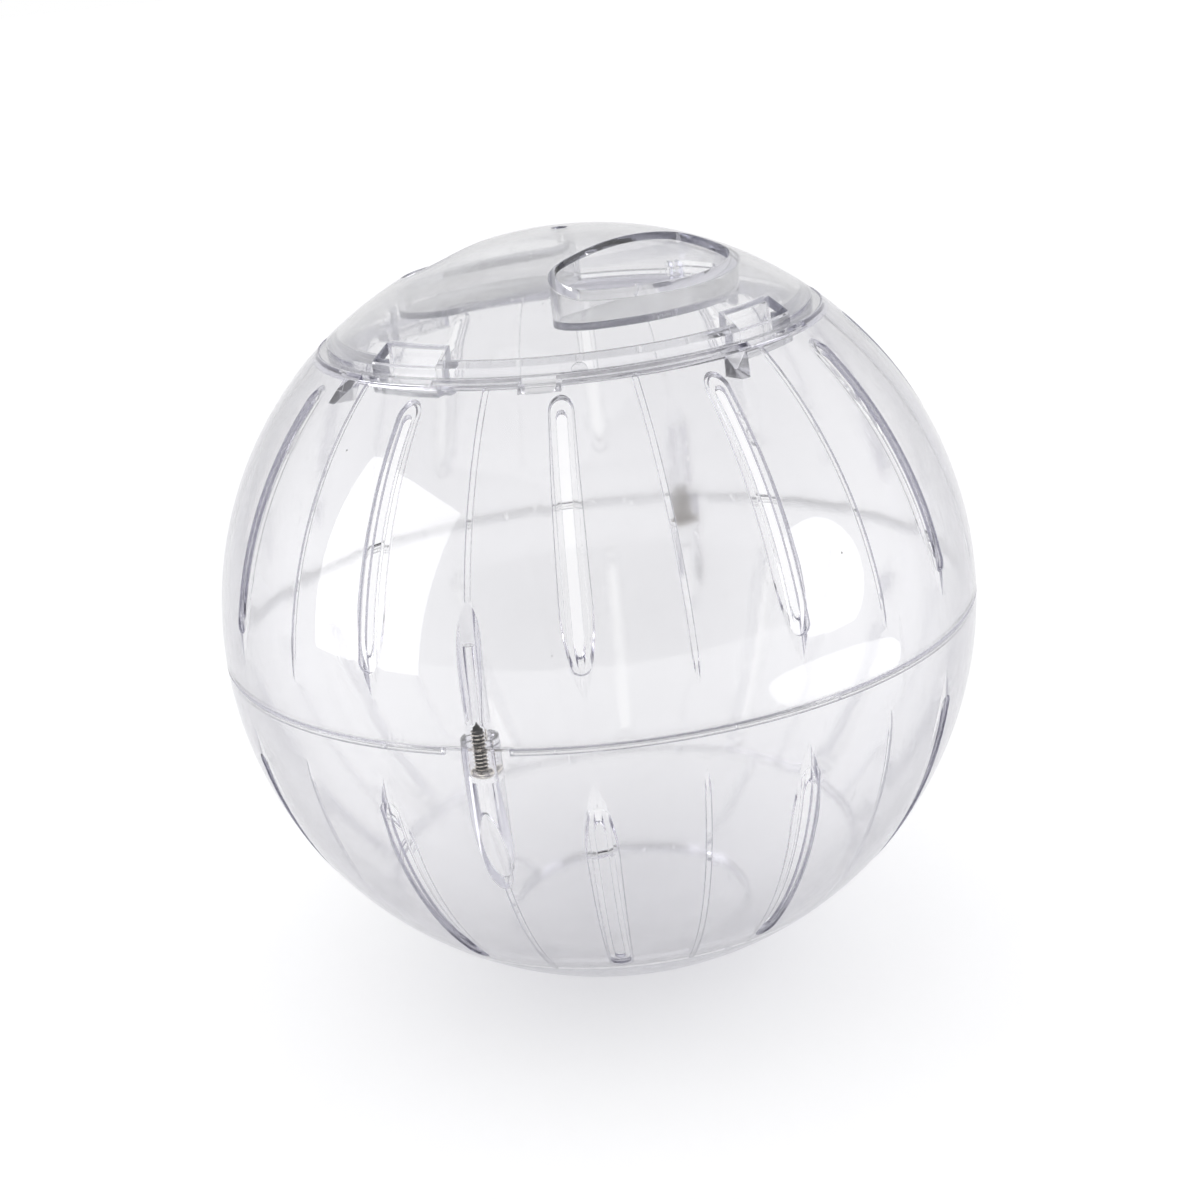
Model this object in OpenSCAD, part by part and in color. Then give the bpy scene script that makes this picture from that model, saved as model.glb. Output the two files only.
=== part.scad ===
// Clear exercise ball for a hamster: two screwed half shells with air slots
// and a round lid held by four lugs. All sizes are in millimetres.
// The origin is the ball's centre, +Z runs through the lid, and -Y faces the
// photograph's camera. Headings count from -Y towards +X.

/* [Ball] */
// Outer diameter of the closed ball
ball_diameter = 180; // [165:1:200]
// Wall of both halves and of the lid
wall_thickness = 2; // [1.8:0.1:2.4]
// Heading of the front screw, in degrees
screw_heading = -18.2; // [-22:0.1:-15]

/* [Seam] */
// Bevel on both edges where the halves meet
seam_bevel = 0.4; // [0.2:0.05:0.6]
// Height of the lip that locates the halves
lip_height = 1.6; // [1:0.1:2.2]
// Thickness of that lip
lip_thickness = 0.85; // [0.6:0.05:0.9]
// Gap between the lip and its step, on every side
lip_gap = 0.1; // [0.05:0.01:0.15]
// Angle left without a lip at each screw, in degrees
lip_break_angle = 10; // [8:0.5:14]
// Width of the four vents cut in each lip
lip_vent_width = 0.5; // [0.3:0.1:1]

/* [Air slots] */
// Number of air slots round each half
slot_count = 12; // [4:4:12]
// Heading of the first air slot, in degrees
slot_heading = -3.2; // [-5:0.1:-1]
// Width of the open slot
slot_width = 2.2; // [1.6:0.1:3]
// Latitude where the open slot starts, in degrees
slot_start_latitude = 13.4; // [12:0.1:16]
// Plan distance from the mouth to the open slot's far end
slot_margin = 5.65; // [5:0.05:16]
// Width of the shallow recess round the slot, outside
recess_width = 4.6; // [4:0.1:5]
// Depth of that recess
recess_depth = 0.6; // [0.3:0.05:0.7]
// Latitude where the recess starts, in degrees
recess_start_latitude = 9.3; // [8.6:0.1:10.5]
// Plan distance from the mouth to the recess's far end
recess_margin = 4.65; // [4.3:0.05:4.8]
// Width of the leaf-shaped relief inside, near the seam
leaf_width = 6.7; // [6:0.1:7.4]
// Width of that relief at its far end
leaf_end_width = 5.1; // [4.8:0.1:5.6]
// Depth of that relief
leaf_depth = 0.7; // [0.4:0.05:0.75]
// Latitude of the relief's pointed tip, in degrees
leaf_tip_latitude = 6.7; // [6:0.1:8]
// Plan distance from the mouth to the relief's round end, upper half
leaf_margin = 2.6; // [2.2:0.1:3]
// Plan distance from the outer rib ring to that end, lower half
leaf_ring_gap = 1.9; // [1.2:0.1:2.6]

/* [Flow grooves] */
// Width of the fine grooves between the slots, inside
groove_width = 1.25; // [0.8:0.05:1.8]
// Depth of the fine grooves
groove_depth = 0.5; // [0.3:0.05:0.9]
// Latitude where the fine grooves start, in degrees
groove_start_latitude = 6; // [5:0.1:8]

/* [Screw posts] */
// Distance of the screws' axes inside the ball's surface, at the seam
post_inset = 4.2; // [4:0.1:4.5]
// Outer diameter of the upper posts
upper_post_diameter = 5.2; // [4.8:0.1:5.6]
// Outer diameter of the lower posts
lower_post_diameter = 8; // [7.6:0.1:8.2]
// Diameter of the collar at the foot of the upper post
collar_diameter = 7.8; // [7:0.1:8.2]
// Height of that collar
collar_height = 1.3; // [0.8:0.1:2]
// Depth that the upper post sits down into the lower one
post_engagement = 0.5; // [0.3:0.05:0.8]
// Height of the screw's pilot hole above the seam
pilot_depth = 21; // [12:0.5:24]
// Diameter of the pilot hole
pilot_diameter = 2.6; // [2.3:0.05:2.7]
// Diameter of the hole that the screw drops through
clearance_diameter = 3.7; // [3.5:0.05:3.9]
// Diameter of the bore that the screwdriver goes up
access_diameter = 5.9; // [5.6:0.05:6.1]
// Depth of the screw seat below the seam
seat_depth = 5.1; // [4:0.1:6.5]

/* [Screws] */
// Outer diameter of the screw's thread
screw_diameter = 3.2; // [2.9:0.1:3.4]
// Length of the screw under its head
screw_length = 9.6; // [8:0.1:14]
// Length of the screw's point
screw_point_length = 1.9; // [1.2:0.1:2.4]
// Diameter of the screw's head
head_diameter = 5.2; // [4.8:0.1:5.4]
// Height of the screw's head
head_height = 2.4; // [1.8:0.1:2.8]
// Width of each arm of the cross in the head
cross_width = 0.8; // [0.6:0.05:1]
// Tip-to-tip size of that cross
cross_span = 2.7; // [2.2:0.1:3]
// Depth of that cross
cross_depth = 1.3; // [0.8:0.1:1.5]

/* [Mouth] */
// Diameter of the opening that the lid drops into
mouth_diameter = 116.4; // [112:0.1:118]
// Depth of the ledge below the opening's edge
ledge_drop = 1.65; // [1.5:0.05:1.8]
// Thickness of the ledge
ledge_thickness = 1.2; // [1.1:0.05:1.9]
// Width of the ledge
ledge_width = 4.7; // [4.4:0.1:5]
// Number of lid lugs and of their notches
lug_count = 4; // [2:1:4]
// Heading of the first lug, in degrees
lug_heading = 49.3; // [48:0.1:51]
// Angle that a lug spans, in degrees
lug_angle = 19.3; // [14:0.1:20]
// Extra angle of the notch that lets a lug through, in degrees
notch_extra_angle = 1.2; // [0.8:0.1:2]
// Extra reach of the opening's edge at each notch
notch_bulge = 1.2; // [0.6:0.1:1.4]
// Angle from a notch to the stiffener beside it, in degrees
stiffener_angle = 14.1; // [13.9:0.1:15]
// Width of that stiffener at the ledge
stiffener_width = 5.5; // [4:0.1:6]
// Width of its slanted side
stiffener_slant = 3.2; // [2:0.1:3.5]
// Height of that stiffener
stiffener_height = 4; // [3:0.1:5]
// Heading of the thumb cup, in degrees
cup_heading = -7.3; // [-9:0.1:-6]
// Width of the thumb cup
cup_width = 8.9; // [7:0.1:10]
// Reach of the thumb cup past the opening's edge
cup_reach = 3.3; // [2.6:0.1:3.6]
// Wall of the thumb cup
cup_wall = 0.8; // [0.6:0.05:1]
// Corner radius of the thumb cup
cup_corner = 1.8; // [1.2:0.1:2.2]

/* [Lid] */
// Gap between the lid's flange and the opening
flange_gap = 0.3; // [0.2:0.05:0.4]
// Width of the lid's flange
flange_width = 1.85; // [1.6:0.05:2.2]
// Thickness of the lid's flange
flange_thickness = 1.4; // [1.2:0.05:1.5]
// Gap under the flange and over the lugs
seat_gap = 0.1; // [0.05:0.01:0.2]
// Gap between the lid's spigot and the ledge
spigot_gap = 0.3; // [0.2:0.05:0.5]
// Thickness of a lug
lug_thickness = 2; // [1.5:0.1:2.6]
// Reach of a lug past the spigot
lug_reach = 2.3; // [1.8:0.1:2.5]
// Depth of the window behind the spigot's face
window_step = 2.2; // [1.8:0.1:3]
// Angle on each side of a lug where the spigot runs down to it, in degrees
lug_side_angle = 1.8; // [1:0.1:3]

/* [Finger pockets] */
// Heading of the first finger pocket, in degrees
pocket_heading = 45; // [40:1:50]
// Distance from the lid's axis to the pocket's straight side
pocket_inner_reach = 18; // [16:0.5:20]
// Distance from the lid's axis to the pocket's round side
pocket_outer_reach = 39.5; // [36:0.5:41]
// Radius of the pocket's round side
pocket_radius = 33.5; // [31:0.5:35]
// Radius of the pocket's corners
pocket_corner = 7.2; // [6:0.1:9]
// Depth of the pocket at its round side
pocket_depth = 6.8; // [5:0.1:8]
// Wall round the pocket and under it
pocket_wall = 1.4; // [1.2:0.1:2]
// Diameter of the moulding mark on the lid's top
gate_diameter = 3.8; // [3:0.1:5]
// Depth of that mark
gate_depth = 0.6; // [0.4:0.1:1]
// Length of the stub under it
gate_stub = 2; // [1:0.1:3]

/* [Base ribs] */
// Height of the ribs inside the base
rib_height = 1.1; // [0.6:0.1:2]
// Width of those ribs
rib_width = 1.2; // [0.8:0.1:2]
// Radius of the outer rib ring
outer_ring_radius = 58; // [56:0.5:60]
// Radius of the inner rib ring
inner_ring_radius = 30; // [24:0.5:36]
// Number of straight ribs between the rings
rib_count = 4; // [2:1:8]

/* [Hidden] */
$fn = 96;

overrun = 1;
half_turn = 180;
quarter_turn = 90;
full_turn = 360;
screw_count = 2;
pocket_count = 2;
root_play = 0.1;
blend_share = 0.5;
tip_share = 0.15;
end_share = 1.015;
stub_share = 0.45;
vent_offsets = [-13.6, 10.4, 34.4, 50.1];

ball_radius = ball_diameter / 2;
inner_radius = ball_radius - wall_thickness;
lip_inner_radius = inner_radius + root_play;
lip_outer_radius = lip_inner_radius + lip_thickness;
leaf_radius = inner_radius + leaf_depth;
groove_radius = inner_radius + groove_depth;
recess_radius = ball_radius - recess_depth;
groove_offset = half_turn / slot_count;

post_reach = ball_radius - post_inset;
upper_post_radius = upper_post_diameter / 2;
lower_post_radius = lower_post_diameter / 2;
collar_radius = collar_diameter / 2;
access_radius = access_diameter / 2;
upper_post_height = sqrt(pow(ball_radius, 2) - pow(post_reach - upper_post_radius, 2));
lower_post_height = sqrt(pow(ball_radius, 2) - pow(post_reach - lower_post_radius, 2));

mouth_radius = mouth_diameter / 2;
mouth_edge_height = sqrt(pow(ball_radius, 2) - pow(mouth_radius, 2));
recess_end_height = sqrt(pow(ball_radius, 2) - pow(mouth_radius + recess_margin, 2));
ledge_top = mouth_edge_height - ledge_drop;
ledge_bottom = ledge_top - ledge_thickness;
ledge_inner_radius = mouth_radius - ledge_width;
ledge_root_radius = sqrt(pow(inner_radius + wall_thickness * blend_share, 2) - pow(ledge_bottom, 2));
cup_outer_reach = mouth_radius + cup_reach;
cup_floor = sqrt(pow(ball_radius, 2) - pow(cup_outer_reach, 2));

flange_radius = mouth_radius - flange_gap;
flange_bottom = ledge_top + seat_gap;
flange_top = flange_bottom + flange_thickness;
rim_radius = flange_radius - flange_width;
spigot_radius = ledge_inner_radius - spigot_gap;
spigot_inner_radius = spigot_radius - wall_thickness;
lug_top = ledge_bottom - seat_gap * 3;
lug_bottom = lug_top - lug_thickness;
lug_radius = spigot_radius + lug_reach;
window_inner_radius = spigot_radius - window_step;
window_wall_radius = window_inner_radius - wall_thickness;
notch_radius = lug_radius + spigot_gap;
bulge_radius = mouth_radius + notch_bulge;

pocket_centre = pocket_outer_reach - pocket_radius;
pocket_floor = sqrt(pow(ball_radius, 2) - pow(pocket_outer_reach, 2)) - pocket_depth;

// Turns its children to a heading, counted from -Y towards +X.
module at_heading(heading) {
    rotate([0, 0, heading - quarter_turn]) children();
}

// Repeats its children evenly round the axis.
module around(count, heading) {
    for (turn = [0 : count - 1]) {
        at_heading(heading + turn * full_turn / count) children();
    }
}

// A slice of ring round the axis, centred on +X.
module ring_slice(inner, outer, bottom, top, angle) {
    translate([0, 0, bottom])
        rotate([0, 0, -angle / 2])
            rotate_extrude(angle = angle)
                translate([inner, 0]) square([outer - inner, top - bottom]);
}

// A whole ring round the axis.
module ring(inner, outer, bottom, top) {
    translate([0, 0, bottom])
        rotate_extrude()
            translate([inner, 0]) square([outer - inner, top - bottom]);
}

// Everything of the upper half outside the inner sphere, cut to the ball later.
module half_wall() {
    difference() {
        cylinder(r = ball_radius + overrun, h = ball_radius + overrun);
        sphere(r = inner_radius);
    }
}

// Plan of a round-ended, tapering channel. The ends are a touch wider than the
// sides, so that no surfaces meet at a tangent.
module channel_plan(near, near_width, far, far_width) {
    translate([near, 0]) circle(d = near_width * end_share);
    translate([far, 0]) circle(d = far_width * end_share);
    polygon([
        [near, -near_width / 2],
        [far, -far_width / 2],
        [far, far_width / 2],
        [near, near_width / 2],
    ]);
}

// Channels between two reaches from the axis, drawn straight up by the mould.
module upright_channels(heading, start, start_width, end, end_width) {
    linear_extrude(height = ball_radius + overrun)
        around(slot_count, heading)
            channel_plan(start + start_width / 2, start_width, end - end_width / 2, end_width);
}

// The relief behind every slot. The upright channel meets the curved wall in
// a leaf's point.
module leaf_reliefs(end_reach) {
    intersection() {
        upright_channels(
            slot_heading,
            end_reach,
            leaf_end_width,
            inner_radius * cos(leaf_tip_latitude),
            leaf_width
        );
        sphere(r = leaf_radius);
    }
}

// The fine grooves halfway between the slots.
module flow_grooves(end_reach) {
    intersection() {
        upright_channels(
            slot_heading - groove_offset,
            end_reach,
            groove_width,
            inner_radius * cos(groove_start_latitude),
            groove_width
        );
        sphere(r = groove_radius);
    }
}

// The shallow recess outside every slot: an outline pressed straight in.
module slot_recesses() {
    start = ball_radius * sin(recess_start_latitude) + recess_width / 2;
    end = recess_end_height - recess_width / 2;
    difference() {
        around(slot_count, slot_heading)
            translate([ball_radius * blend_share, 0, 0])
                rotate([0, -quarter_turn, 0])
                    mirror([0, 0, 1])
                        linear_extrude(height = ball_radius * blend_share + overrun)
                            channel_plan(start, recess_width, end, recess_width);
        sphere(r = recess_radius);
    }
}

// The open slots, with the recess outside and the relief inside.
module air_slots(leaf_end_reach) {
    upright_channels(
        slot_heading,
        mouth_radius + slot_margin,
        slot_width,
        ball_radius * cos(slot_start_latitude),
        slot_width
    );
    slot_recesses();
    leaf_reliefs(leaf_end_reach);
}

// The bevel round the open edge of a half.
module seam_bevel_cut() {
    rotate_extrude()
        polygon([
            [ball_radius - seam_bevel - overrun, -overrun],
            [ball_radius + overrun, -overrun],
            [ball_radius + overrun, seam_bevel + overrun],
        ]);
}

// The lip's two arcs, between the screws.
module lip_arcs(inner, outer, bottom, top, break_angle) {
    around(screw_count, screw_heading + quarter_turn)
        ring_slice(inner, outer, bottom, top, half_turn - break_angle);
}

// The vents through the lip.
module lip_vents() {
    around(screw_count, screw_heading) {
        for (offset = vent_offsets) {
            rotate([0, 0, offset])
                translate([inner_radius - overrun, -lip_vent_width / 2, -lip_height - overrun])
                    cube([wall_thickness + overrun, lip_vent_width, lip_height + overrun]);
        }
    }
}

// The stiffener under the ledge beside a notch, seen along the radius.
module stiffener() {
    translate([ledge_inner_radius + ledge_width * (1 - tip_share), 0, ledge_bottom])
        rotate([quarter_turn, 0, quarter_turn])
            linear_extrude(height = ledge_width + wall_thickness)
                polygon([
                    [-stiffener_width / 2, overrun],
                    [-stiffener_width / 2, -stiffener_height],
                    [stiffener_width / 2 - stiffener_slant, -stiffener_height],
                    [stiffener_width / 2, 0],
                    [stiffener_width / 2, overrun],
                ]);
}

// Plan of the thumb cup, square towards the mouth and rounded outwards.
module cup_plan(width, reach) {
    near = mouth_radius - cup_reach;
    side = width / 2 - cup_corner;
    translate([near, -width / 2]) square([reach - near - cup_corner, width]);
    translate([near, -side]) square([reach - near, 2 * side]);
    for (y = [-side, side]) {
        translate([reach - cup_corner, y]) circle(r = cup_corner);
    }
}

module upper_shell() {
    color("lightcyan", 0.5)
    difference() {
        union() {
            intersection() {
                sphere(r = ball_radius);
                union() {
                    half_wall();
                    translate([0, 0, ledge_bottom]) cylinder(r = ledge_root_radius, h = ledge_thickness);
                    around(lug_count, lug_heading - stiffener_angle) stiffener();
                    at_heading(cup_heading)
                        translate([0, 0, cup_floor - cup_wall])
                            linear_extrude(height = ledge_drop + cup_wall)
                                cup_plan(cup_width, cup_outer_reach + cup_wall);
                    around(screw_count, screw_heading)
                        translate([post_reach, 0, 0]) {
                            cylinder(r = upper_post_radius, h = upper_post_height);
                            cylinder(r = collar_radius, h = collar_height);
                        }
                }
            }
            lip_arcs(lip_inner_radius, lip_outer_radius, -lip_height, wall_thickness, lip_break_angle);
            around(screw_count, screw_heading)
                translate([post_reach, 0, -post_engagement])
                    cylinder(r = upper_post_radius, h = post_engagement + collar_height);
        }
        // mouth, ledge and the notches for the lugs
        translate([0, 0, ledge_top]) cylinder(r = mouth_radius, h = ball_radius);
        translate([0, 0, ledge_bottom - overrun]) cylinder(r = ledge_inner_radius, h = ball_radius);
        around(lug_count, lug_heading) {
            ring_slice(
                ledge_inner_radius - overrun,
                notch_radius,
                ledge_bottom - overrun,
                ball_radius,
                lug_angle + notch_extra_angle
            );
            ring_slice(
                notch_radius - overrun,
                bulge_radius,
                ledge_top,
                ball_radius,
                lug_angle + notch_extra_angle
            );
        }
        at_heading(cup_heading)
            translate([0, 0, cup_floor])
                linear_extrude(height = ball_radius)
                    cup_plan(cup_width - 2 * cup_wall, cup_outer_reach);
        air_slots(mouth_radius + leaf_margin);
        difference() {
            flow_grooves(mouth_radius + root_play);
            around(screw_count, screw_heading)
                translate([post_reach, 0, -overrun])
                    cylinder(r = upper_post_radius + root_play, h = upper_post_height);
        }
        around(screw_count, screw_heading)
            translate([post_reach, 0, -post_engagement - overrun])
                cylinder(d = pilot_diameter, h = pilot_depth + post_engagement + overrun);
        lip_vents();
        seam_bevel_cut();
    }
}

// The ribs inside the base, drawn pointing up; they follow the wall.
module base_ribs() {
    difference() {
        union() {
            for (radius = [outer_ring_radius, inner_ring_radius]) {
                ring(radius - rib_width / 2, radius + rib_width / 2, post_reach / 2, ball_radius);
            }
            around(rib_count, lug_heading)
                translate([inner_ring_radius, -rib_width / 2, post_reach / 2])
                    cube([outer_ring_radius - inner_ring_radius, rib_width, post_reach / 2]);
        }
        sphere(r = inner_radius - rib_height);
    }
}

module lower_shell() {
    color("azure", 0.5)
    mirror([0, 0, 1])
    difference() {
        intersection() {
            sphere(r = ball_radius);
            union() {
                half_wall();
                base_ribs();
                around(screw_count, screw_heading)
                    translate([post_reach, 0, 0])
                        cylinder(r = lower_post_radius, h = lower_post_height);
            }
        }
        air_slots(outer_ring_radius + leaf_ring_gap);
        difference() {
            flow_grooves(outer_ring_radius);
            around(screw_count, screw_heading)
                translate([post_reach, 0, -overrun])
                    cylinder(r = lower_post_radius + root_play, h = lower_post_height);
        }
        // step for the lip
        lip_arcs(
            inner_radius - overrun,
            lip_outer_radius + lip_gap,
            -overrun,
            lip_height + lip_gap,
            lip_break_angle - 1
        );
        // recess for the upper post, screw hole, seat and driver bore
        around(screw_count, screw_heading)
            translate([post_reach, 0, 0]) {
                translate([0, 0, -overrun])
                    cylinder(r = upper_post_radius + lip_gap, h = post_engagement + lip_gap + overrun);
                cylinder(d = clearance_diameter, h = seat_depth + overrun);
                translate([0, 0, seat_depth]) cylinder(r = access_radius, h = ball_radius);
            }
        seam_bevel_cut();
    }
}

// Plan of a finger pocket, grown by its wall where asked: a round side and a
// straight side joined by corner arcs that touch both.
module pocket_plan(growth) {
    corner = pocket_corner + growth;
    outer = pocket_radius + growth;
    chord = pocket_inner_reach - growth;
    corner_x = pocket_inner_reach + pocket_corner;
    corner_y = sqrt(pow(pocket_radius - pocket_corner, 2) - pow(corner_x - pocket_centre, 2));
    stretch = (outer + overrun) / (pocket_radius - pocket_corner);
    far_x = pocket_centre + (corner_x - pocket_centre) * stretch;
    far_y = corner_y * stretch;
    intersection() {
        translate([pocket_centre, 0]) circle(r = outer);
        polygon([
            [chord, -corner_y],
            [corner_x, -corner_y],
            [far_x, -far_y],
            [pocket_outer_reach + pocket_radius, -far_y],
            [pocket_outer_reach + pocket_radius, far_y],
            [far_x, far_y],
            [corner_x, corner_y],
            [chord, corner_y],
        ]);
    }
    for (y = [-corner_y, corner_y]) {
        translate([corner_x, y]) circle(r = corner);
    }
}

module lid() {
    color("aliceblue", 0.5)
    difference() {
        intersection() {
            sphere(r = ball_radius);
            union() {
                // dome and its thick rim
                difference() {
                    translate([0, 0, flange_bottom]) cylinder(r = rim_radius, h = ball_radius);
                    sphere(r = inner_radius);
                    translate([0, 0, lug_bottom]) cylinder(r = spigot_inner_radius, h = flange_bottom - lug_bottom);
                }
                ring(spigot_inner_radius, rim_radius, flange_bottom, flange_top + wall_thickness);
                ring(rim_radius - overrun, flange_radius, flange_bottom, flange_top);
                ring(spigot_inner_radius, spigot_radius, lug_bottom, flange_top);
                // lugs with the inner wall of each window
                around(lug_count, lug_heading) {
                    ring_slice(window_wall_radius, lug_radius, lug_bottom, lug_top, lug_angle);
                    ring_slice(
                        window_wall_radius,
                        window_inner_radius,
                        lug_top - overrun,
                        ball_radius,
                        lug_angle
                    );
                }
                // finger pockets
                around(pocket_count, pocket_heading)
                    translate([0, 0, pocket_floor - pocket_wall])
                        linear_extrude(height = ball_radius - pocket_floor)
                            pocket_plan(pocket_wall);
                translate([0, 0, inner_radius - gate_stub])
                    cylinder(r = gate_diameter / 2 * stub_share, h = gate_stub + wall_thickness);
            }
        }
        // between the lugs the spigot ends level with the ledge
        around(lug_count, lug_heading + half_turn / lug_count)
            ring_slice(
                spigot_inner_radius - overrun,
                spigot_radius + overrun,
                lug_bottom - overrun,
                ledge_bottom,
                full_turn / lug_count - lug_angle - 2 * lug_side_angle
            );
        around(lug_count, lug_heading)
            ring_slice(window_inner_radius, lug_radius, lug_top, ball_radius, lug_angle);
        around(pocket_count, pocket_heading)
            translate([0, 0, pocket_floor])
                linear_extrude(height = ball_radius)
                    pocket_plan(0);
        translate([0, 0, ball_radius - gate_depth]) cylinder(d = gate_diameter, h = gate_depth + overrun);
    }
}

// A pan-head screw pointing up, its head's seat at the origin.
module screw() {
    dome_radius = (pow(head_diameter / 2, 2) + pow(head_height, 2)) / (2 * head_height);
    shank_length = screw_length - screw_point_length;
    difference() {
        union() {
            cylinder(d = screw_diameter, h = shank_length);
            translate([0, 0, shank_length])
                cylinder(d1 = screw_diameter, d2 = screw_diameter * tip_share, h = screw_point_length);
            intersection() {
                translate([0, 0, dome_radius - head_height]) sphere(r = dome_radius);
                translate([0, 0, -head_height - overrun]) cylinder(d = head_diameter, h = head_height + overrun);
            }
        }
        for (turn = [0, quarter_turn]) {
            rotate([0, 0, turn])
                translate([-cross_span / 2, -cross_width / 2, -head_height - overrun])
                    cube([cross_span, cross_width, cross_depth + overrun]);
        }
    }
}

module screw_front() {
    color("silver")
    at_heading(screw_heading) translate([post_reach, 0, -seat_depth]) screw();
}

module screw_rear() {
    color("silver")
    at_heading(screw_heading + half_turn) translate([post_reach, 0, -seat_depth]) screw();
}

lower_shell();
upper_shell();
lid();
screw_front();
screw_rear();
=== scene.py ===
"""Clear hamster ball on a pale studio floor.

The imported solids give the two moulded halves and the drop-in lid their shapes. This file
dresses them in clear plastic, adds the mark that the mould's gate leaves on the lid's rim,
models the two threaded screws, and sets up studio and camera. Lengths are in metres, in the
frame of the solids: the origin is the ball's centre, Z runs through the lid and -Y faces the
camera.
"""

import logging
import math
from dataclasses import dataclass
from enum import Enum

import bpy
from mathutils import Matrix, Vector


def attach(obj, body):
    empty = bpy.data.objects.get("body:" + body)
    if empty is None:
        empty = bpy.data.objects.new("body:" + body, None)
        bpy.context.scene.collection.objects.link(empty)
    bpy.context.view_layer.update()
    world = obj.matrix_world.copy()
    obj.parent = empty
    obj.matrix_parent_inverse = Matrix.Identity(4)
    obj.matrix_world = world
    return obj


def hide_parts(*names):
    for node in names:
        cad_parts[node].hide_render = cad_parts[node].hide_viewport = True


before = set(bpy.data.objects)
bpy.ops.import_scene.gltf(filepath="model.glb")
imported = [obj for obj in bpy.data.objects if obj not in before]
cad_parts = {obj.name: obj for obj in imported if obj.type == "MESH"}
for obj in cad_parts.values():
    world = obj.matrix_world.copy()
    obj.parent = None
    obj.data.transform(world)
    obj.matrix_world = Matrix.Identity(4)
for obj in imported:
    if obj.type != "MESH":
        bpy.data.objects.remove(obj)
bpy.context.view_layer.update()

Point = tuple[float, float, float]
Tree = bpy.types.NodeTree
Node = bpy.types.Node
Socket = bpy.types.NodeSocket

MM = 0.001
TOUCH = 0.0005 * MM  # points nearer than this are one point
FLOOR_HEIGHT = -90.02 * MM
SCREW_REACH = 85.8 * MM  # distance of the screws' axes from the ball's axis
SMOOTH_ANGLE = math.radians(34)  # faces that meet at less than this look like one curve
SHARP_ANGLE = math.radians(40)  # edges sharper than this are rounded
ROUNDING_STEPS = 3
WHITE = (1.0, 1.0, 1.0, 1.0)
LEVEL = (1, 1, 0)  # multiplied with a place, leaves its X and Y
FACTOR, FIRST, SECOND, MIXED = 0, 6, 7, 2  # sockets of a Mix node for colours

log = logging.getLogger("hamster_ball")


# --------------------------------------------------------------------------- helpers


def linear_from_hex(text: str) -> tuple[float, float, float, float]:
    """Turns an sRGB hex colour into the linear colour that Blender's sockets take.

    Args:
        text: Colour such as "#F2F3F7".

    Returns:
        Linear red, green, blue and an alpha of 1.
    """
    parts = [int(text[i : i + 2], 16) / 255 for i in (1, 3, 5)]
    linear = [c / 12.92 if c <= 0.04045 else ((c + 0.055) / 1.055) ** 2.4 for c in parts]
    return (*linear, 1.0)


def add_node(
    tree: Tree, kind: str, inputs: dict[int | str, object] | None = None, **settings: object
) -> Node:
    """Adds one node with its settings, values and links.

    Args:
        tree: Node tree that takes the node.
        kind: Blender's name for the node type.
        inputs: Input name or index, and what it takes: a value, an output socket, or a node,
            which stands for its first output.
        **settings: Properties of the node itself.

    Returns:
        The new node.
    """
    node = tree.nodes.new(kind)
    for name, setting in settings.items():
        setattr(node, name, setting)
    for key, source in (inputs or {}).items():
        if isinstance(source, Node):
            source = source.outputs[0]
        if isinstance(source, Socket):
            tree.links.new(source, node.inputs[key])
        else:
            node.inputs[key].default_value = source
    return node


def ray_is_seen(tree: Tree) -> Node:
    """Tells rays that are seen from plain light.

    Args:
        tree: Node tree that takes the nodes.

    Returns:
        Node that gives 1 for a ray from the camera, off a mirror or through glass, else 0.
    """
    path = add_node(tree, "ShaderNodeLightPath").outputs
    first = add_node(
        tree,
        "ShaderNodeMath",
        {0: path["Is Camera Ray"], 1: path["Is Glossy Ray"]},
        operation="MAXIMUM",
    )
    return add_node(
        tree, "ShaderNodeMath", {0: first, 1: path["Is Transmission Ray"]}, operation="MAXIMUM"
    )


def fresh_material(name: str) -> bpy.types.Material:
    """Makes an empty node material.

    Args:
        name: Name of the material.

    Returns:
        The material, with no nodes in it.
    """
    material = bpy.data.materials.new(name)
    material.use_nodes = True
    material.node_tree.nodes.clear()
    return material


def deselect_all() -> None:
    """Leaves nothing selected, so that an operator acts only on what is made next."""
    bpy.ops.object.select_all(action="DESELECT")


def take(piece: bpy.types.Object) -> None:
    """Selects one piece alone and makes it active.

    Args:
        piece: Piece that the next operators act on.
    """
    deselect_all()
    piece.select_set(True)
    bpy.context.view_layer.objects.active = piece


def slice_off(at: Point, way: Point, beyond: bool = True) -> None:
    """Cuts the active piece at a plane, removes one side and closes the cut.

    Args:
        at: Point on the plane.
        way: Direction that the plane faces.
        beyond: True to remove what lies in front of the plane, False for what lies behind it.
    """
    bpy.ops.object.mode_set(mode="EDIT")
    bpy.ops.mesh.select_all(action="SELECT")
    bpy.ops.mesh.bisect(
        plane_co=at,
        plane_no=way,
        use_fill=True,
        clear_outer=beyond,
        clear_inner=not beyond,
        threshold=TOUCH,
    )
    bpy.ops.object.mode_set(mode="OBJECT")


def cut_out(piece: bpy.types.Object, other: bpy.types.Object) -> None:
    """Cuts another object's shape out of a piece, and deletes the other object.

    Args:
        piece: Piece that stays.
        other: Object whose shape is cut out.
    """
    take(piece)
    step = piece.modifiers.new("cut", "BOOLEAN")
    step.operation = "DIFFERENCE"
    step.solver = "EXACT"
    step.object = other
    bpy.ops.object.modifier_apply(modifier=step.name)
    bpy.data.objects.remove(other, do_unlink=True)


def join_to(piece: bpy.types.Object, other: bpy.types.Object) -> None:
    """Makes two objects one piece.

    Args:
        piece: Piece that stays.
        other: Object that goes into it.
    """
    take(piece)
    other.select_set(True)
    bpy.ops.object.join()


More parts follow.
